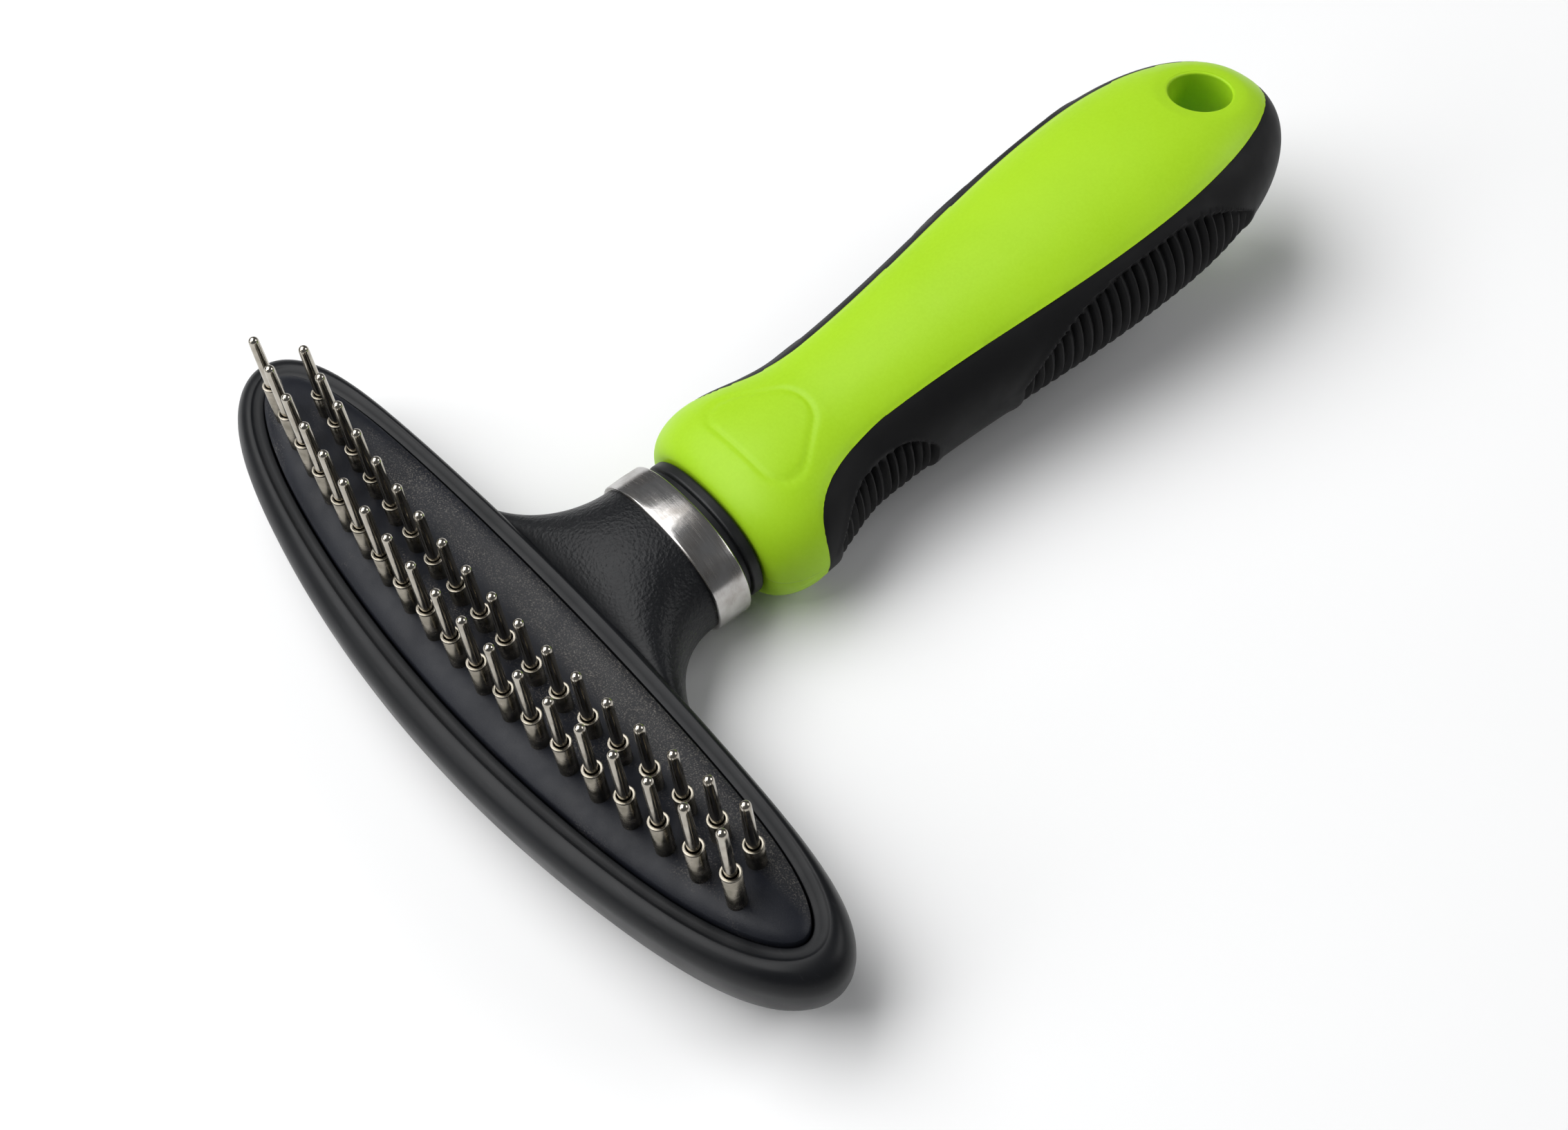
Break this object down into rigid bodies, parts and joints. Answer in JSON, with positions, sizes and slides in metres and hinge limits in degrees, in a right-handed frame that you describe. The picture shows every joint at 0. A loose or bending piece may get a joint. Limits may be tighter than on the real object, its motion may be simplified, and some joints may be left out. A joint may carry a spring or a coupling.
{
  "type": "deshedding tool",
  "caption": "Double-row undercoat rake for pets: free-spinning round-tipped steel pins in metal sleeves on an oval head, steel ferrule, two-colour soft-grip handle with a hang hole.",
  "frame": {"origin": "middle of the tool's footprint, at the flat back of the head that the tool lies on", "axes": "+X along the head, +Y from the head to the butt of the handle, +Z the way the teeth point"},
  "size_m": [0.138, 0.1618, 0.0359],
  "materials": {
    "head_black": "satin moulded nylon, smooth rolled rim, fine leather grain on the neck",
    "plate_black": "satin moulded plastic with light scuffs",
    "retainer_black": "plain moulded plastic, hidden inside the head",
    "polished_steel": "polished steel band with soft streaks",
    "collar_black": "satin moulded plastic, stepped",
    "lime_green": "satin lime green plastic",
    "grip_black": "matt soft-touch rubber with ribbed finger fields",
    "nickel": "polished nickel-plated steel"
  },
  "bodies": {
    "tool": {"head_shell": "head_black", "tooth_plate": "plate_black", "sleeves_front": "nickel", "sleeves_rear": "nickel", "pin_retainer": "retainer_black", "ferrule": "polished_steel", "neck_collar": "collar_black", "handle_body": "lime_green", "handle_grip": "grip_black"},
    "tooth_front_01": {"pin_front_01": "nickel"},
    "tooth_front_02": {"pin_front_02": "nickel"},
    "tooth_front_03": {"pin_front_03": "nickel"},
    "tooth_front_04": {"pin_front_04": "nickel"},
    "tooth_front_05": {"pin_front_05": "nickel"},
    "tooth_front_06": {"pin_front_06": "nickel"},
    "tooth_front_07": {"pin_front_07": "nickel"},
    "tooth_front_08": {"pin_front_08": "nickel"},
    "tooth_front_09": {"pin_front_09": "nickel"},
    "tooth_front_10": {"pin_front_10": "nickel"},
    "tooth_front_11": {"pin_front_11": "nickel"},
    "tooth_front_12": {"pin_front_12": "nickel"},
    "tooth_front_13": {"pin_front_13": "nickel"},
    "tooth_front_14": {"pin_front_14": "nickel"},
    "tooth_front_15": {"pin_front_15": "nickel"},
    "tooth_front_16": {"pin_front_16": "nickel"},
    "tooth_front_17": {"pin_front_17": "nickel"},
    "tooth_front_18": {"pin_front_18": "nickel"},
    "tooth_front_19": {"pin_front_19": "nickel"},
    "tooth_rear_01": {"pin_rear_01": "nickel"},
    "tooth_rear_02": {"pin_rear_02": "nickel"},
    "tooth_rear_03": {"pin_rear_03": "nickel"},
    "tooth_rear_04": {"pin_rear_04": "nickel"},
    "tooth_rear_05": {"pin_rear_05": "nickel"},
    "tooth_rear_06": {"pin_rear_06": "nickel"},
    "tooth_rear_07": {"pin_rear_07": "nickel"},
    "tooth_rear_08": {"pin_rear_08": "nickel"},
    "tooth_rear_09": {"pin_rear_09": "nickel"},
    "tooth_rear_10": {"pin_rear_10": "nickel"},
    "tooth_rear_11": {"pin_rear_11": "nickel"},
    "tooth_rear_12": {"pin_rear_12": "nickel"},
    "tooth_rear_13": {"pin_rear_13": "nickel"},
    "tooth_rear_14": {"pin_rear_14": "nickel"},
    "tooth_rear_15": {"pin_rear_15": "nickel"},
    "tooth_rear_16": {"pin_rear_16": "nickel"},
    "tooth_rear_17": {"pin_rear_17": "nickel"},
    "tooth_rear_18": {"pin_rear_18": "nickel"}
  },
  "joints": [
    {"name": "spin_front_01", "type": "hinge", "parent": "tool", "child": "tooth_front_01", "pos_m": [-0.054, -0.06529, 0.02552], "axis": [0, 0, 1], "continuous": true},
    {"name": "spin_front_02", "type": "hinge", "parent": "tool", "child": "tooth_front_02", "pos_m": [-0.048, -0.06637, 0.02514], "axis": [0, 0, 1], "continuous": true},
    {"name": "spin_front_03", "type": "hinge", "parent": "tool", "child": "tooth_front_03", "pos_m": [-0.042, -0.06732, 0.0248], "axis": [0, 0, 1], "continuous": true},
    {"name": "spin_front_04", "type": "hinge", "parent": "tool", "child": "tooth_front_04", "pos_m": [-0.036, -0.06814, 0.02451], "axis": [0, 0, 1], "continuous": true},
    {"name": "spin_front_05", "type": "hinge", "parent": "tool", "child": "tooth_front_05", "pos_m": [-0.03, -0.06883, 0.02426], "axis": [0, 0, 1], "continuous": true},
    {"name": "spin_front_06", "type": "hinge", "parent": "tool", "child": "tooth_front_06", "pos_m": [-0.024, -0.0694, 0.02406], "axis": [0, 0, 1], "continuous": true},
    {"name": "spin_front_07", "type": "hinge", "parent": "tool", "child": "tooth_front_07", "pos_m": [-0.018, -0.06984, 0.0239], "axis": [0, 0, 1], "continuous": true},
    {"name": "spin_front_08", "type": "hinge", "parent": "tool", "child": "tooth_front_08", "pos_m": [-0.012, -0.07015, 0.02379], "axis": [0, 0, 1], "continuous": true},
    {"name": "spin_front_09", "type": "hinge", "parent": "tool", "child": "tooth_front_09", "pos_m": [-0.006, -0.07034, 0.02372], "axis": [0, 0, 1], "continuous": true},
    {"name": "spin_front_10", "type": "hinge", "parent": "tool", "child": "tooth_front_10", "pos_m": [0, -0.0704, 0.0237], "axis": [0, 0, 1], "continuous": true},
    {"name": "spin_front_11", "type": "hinge", "parent": "tool", "child": "tooth_front_11", "pos_m": [0.006, -0.07034, 0.02372], "axis": [0, 0, 1], "continuous": true},
    {"name": "spin_front_12", "type": "hinge", "parent": "tool", "child": "tooth_front_12", "pos_m": [0.012, -0.07015, 0.02379], "axis": [0, 0, 1], "continuous": true},
    {"name": "spin_front_13", "type": "hinge", "parent": "tool", "child": "tooth_front_13", "pos_m": [0.018, -0.06984, 0.0239], "axis": [0, 0, 1], "continuous": true},
    {"name": "spin_front_14", "type": "hinge", "parent": "tool", "child": "tooth_front_14", "pos_m": [0.024, -0.0694, 0.02406], "axis": [0, 0, 1], "continuous": true},
    {"name": "spin_front_15", "type": "hinge", "parent": "tool", "child": "tooth_front_15", "pos_m": [0.03, -0.06883, 0.02426], "axis": [0, 0, 1], "continuous": true},
    {"name": "spin_front_16", "type": "hinge", "parent": "tool", "child": "tooth_front_16", "pos_m": [0.036, -0.06814, 0.02451], "axis": [0, 0, 1], "continuous": true},
    {"name": "spin_front_17", "type": "hinge", "parent": "tool", "child": "tooth_front_17", "pos_m": [0.042, -0.06732, 0.0248], "axis": [0, 0, 1], "continuous": true},
    {"name": "spin_front_18", "type": "hinge", "parent": "tool", "child": "tooth_front_18", "pos_m": [0.048, -0.06637, 0.02514], "axis": [0, 0, 1], "continuous": true},
    {"name": "spin_front_19", "type": "hinge", "parent": "tool", "child": "tooth_front_19", "pos_m": [0.054, -0.06529, 0.02552], "axis": [0, 0, 1], "continuous": true},
    {"name": "spin_rear_01", "type": "hinge", "parent": "tool", "child": "tooth_rear_01", "pos_m": [-0.051, -0.05985, 0.02193], "axis": [0, 0, 1], "continuous": true},
    {"name": "spin_rear_02", "type": "hinge", "parent": "tool", "child": "tooth_rear_02", "pos_m": [-0.045, -0.06086, 0.02157], "axis": [0, 0, 1], "continuous": true},
    {"name": "spin_rear_03", "type": "hinge", "parent": "tool", "child": "tooth_rear_03", "pos_m": [-0.039, -0.06175, 0.02125], "axis": [0, 0, 1], "continuous": true},
    {"name": "spin_rear_04", "type": "hinge", "parent": "tool", "child": "tooth_rear_04", "pos_m": [-0.033, -0.0625, 0.02098], "axis": [0, 0, 1], "continuous": true},
    {"name": "spin_rear_05", "type": "hinge", "parent": "tool", "child": "tooth_rear_05", "pos_m": [-0.027, -0.06313, 0.02076], "axis": [0, 0, 1], "continuous": true},
    {"name": "spin_rear_06", "type": "hinge", "parent": "tool", "child": "tooth_rear_06", "pos_m": [-0.021, -0.06363, 0.02058], "axis": [0, 0, 1], "continuous": true},
    {"name": "spin_rear_07", "type": "hinge", "parent": "tool", "child": "tooth_rear_07", "pos_m": [-0.015, -0.06401, 0.02044], "axis": [0, 0, 1], "continuous": true},
    {"name": "spin_rear_08", "type": "hinge", "parent": "tool", "child": "tooth_rear_08", "pos_m": [-0.009, -0.06426, 0.02035], "axis": [0, 0, 1], "continuous": true},
    {"name": "spin_rear_09", "type": "hinge", "parent": "tool", "child": "tooth_rear_09", "pos_m": [-0.003, -0.06438, 0.02031], "axis": [0, 0, 1], "continuous": true},
    {"name": "spin_rear_10", "type": "hinge", "parent": "tool", "child": "tooth_rear_10", "pos_m": [0.003, -0.06438, 0.02031], "axis": [0, 0, 1], "continuous": true},
    {"name": "spin_rear_11", "type": "hinge", "parent": "tool", "child": "tooth_rear_11", "pos_m": [0.009, -0.06426, 0.02035], "axis": [0, 0, 1], "continuous": true},
    {"name": "spin_rear_12", "type": "hinge", "parent": "tool", "child": "tooth_rear_12", "pos_m": [0.015, -0.06401, 0.02044], "axis": [0, 0, 1], "continuous": true},
    {"name": "spin_rear_13", "type": "hinge", "parent": "tool", "child": "tooth_rear_13", "pos_m": [0.021, -0.06363, 0.02058], "axis": [0, 0, 1], "continuous": true},
    {"name": "spin_rear_14", "type": "hinge", "parent": "tool", "child": "tooth_rear_14", "pos_m": [0.027, -0.06313, 0.02076], "axis": [0, 0, 1], "continuous": true},
    {"name": "spin_rear_15", "type": "hinge", "parent": "tool", "child": "tooth_rear_15", "pos_m": [0.033, -0.0625, 0.02098], "axis": [0, 0, 1], "continuous": true},
    {"name": "spin_rear_16", "type": "hinge", "parent": "tool", "child": "tooth_rear_16", "pos_m": [0.039, -0.06175, 0.02125], "axis": [0, 0, 1], "continuous": true},
    {"name": "spin_rear_17", "type": "hinge", "parent": "tool", "child": "tooth_rear_17", "pos_m": [0.045, -0.06086, 0.02157], "axis": [0, 0, 1], "continuous": true},
    {"name": "spin_rear_18", "type": "hinge", "parent": "tool", "child": "tooth_rear_18", "pos_m": [0.051, -0.05985, 0.02193], "axis": [0, 0, 1], "continuous": true}
  ]
}
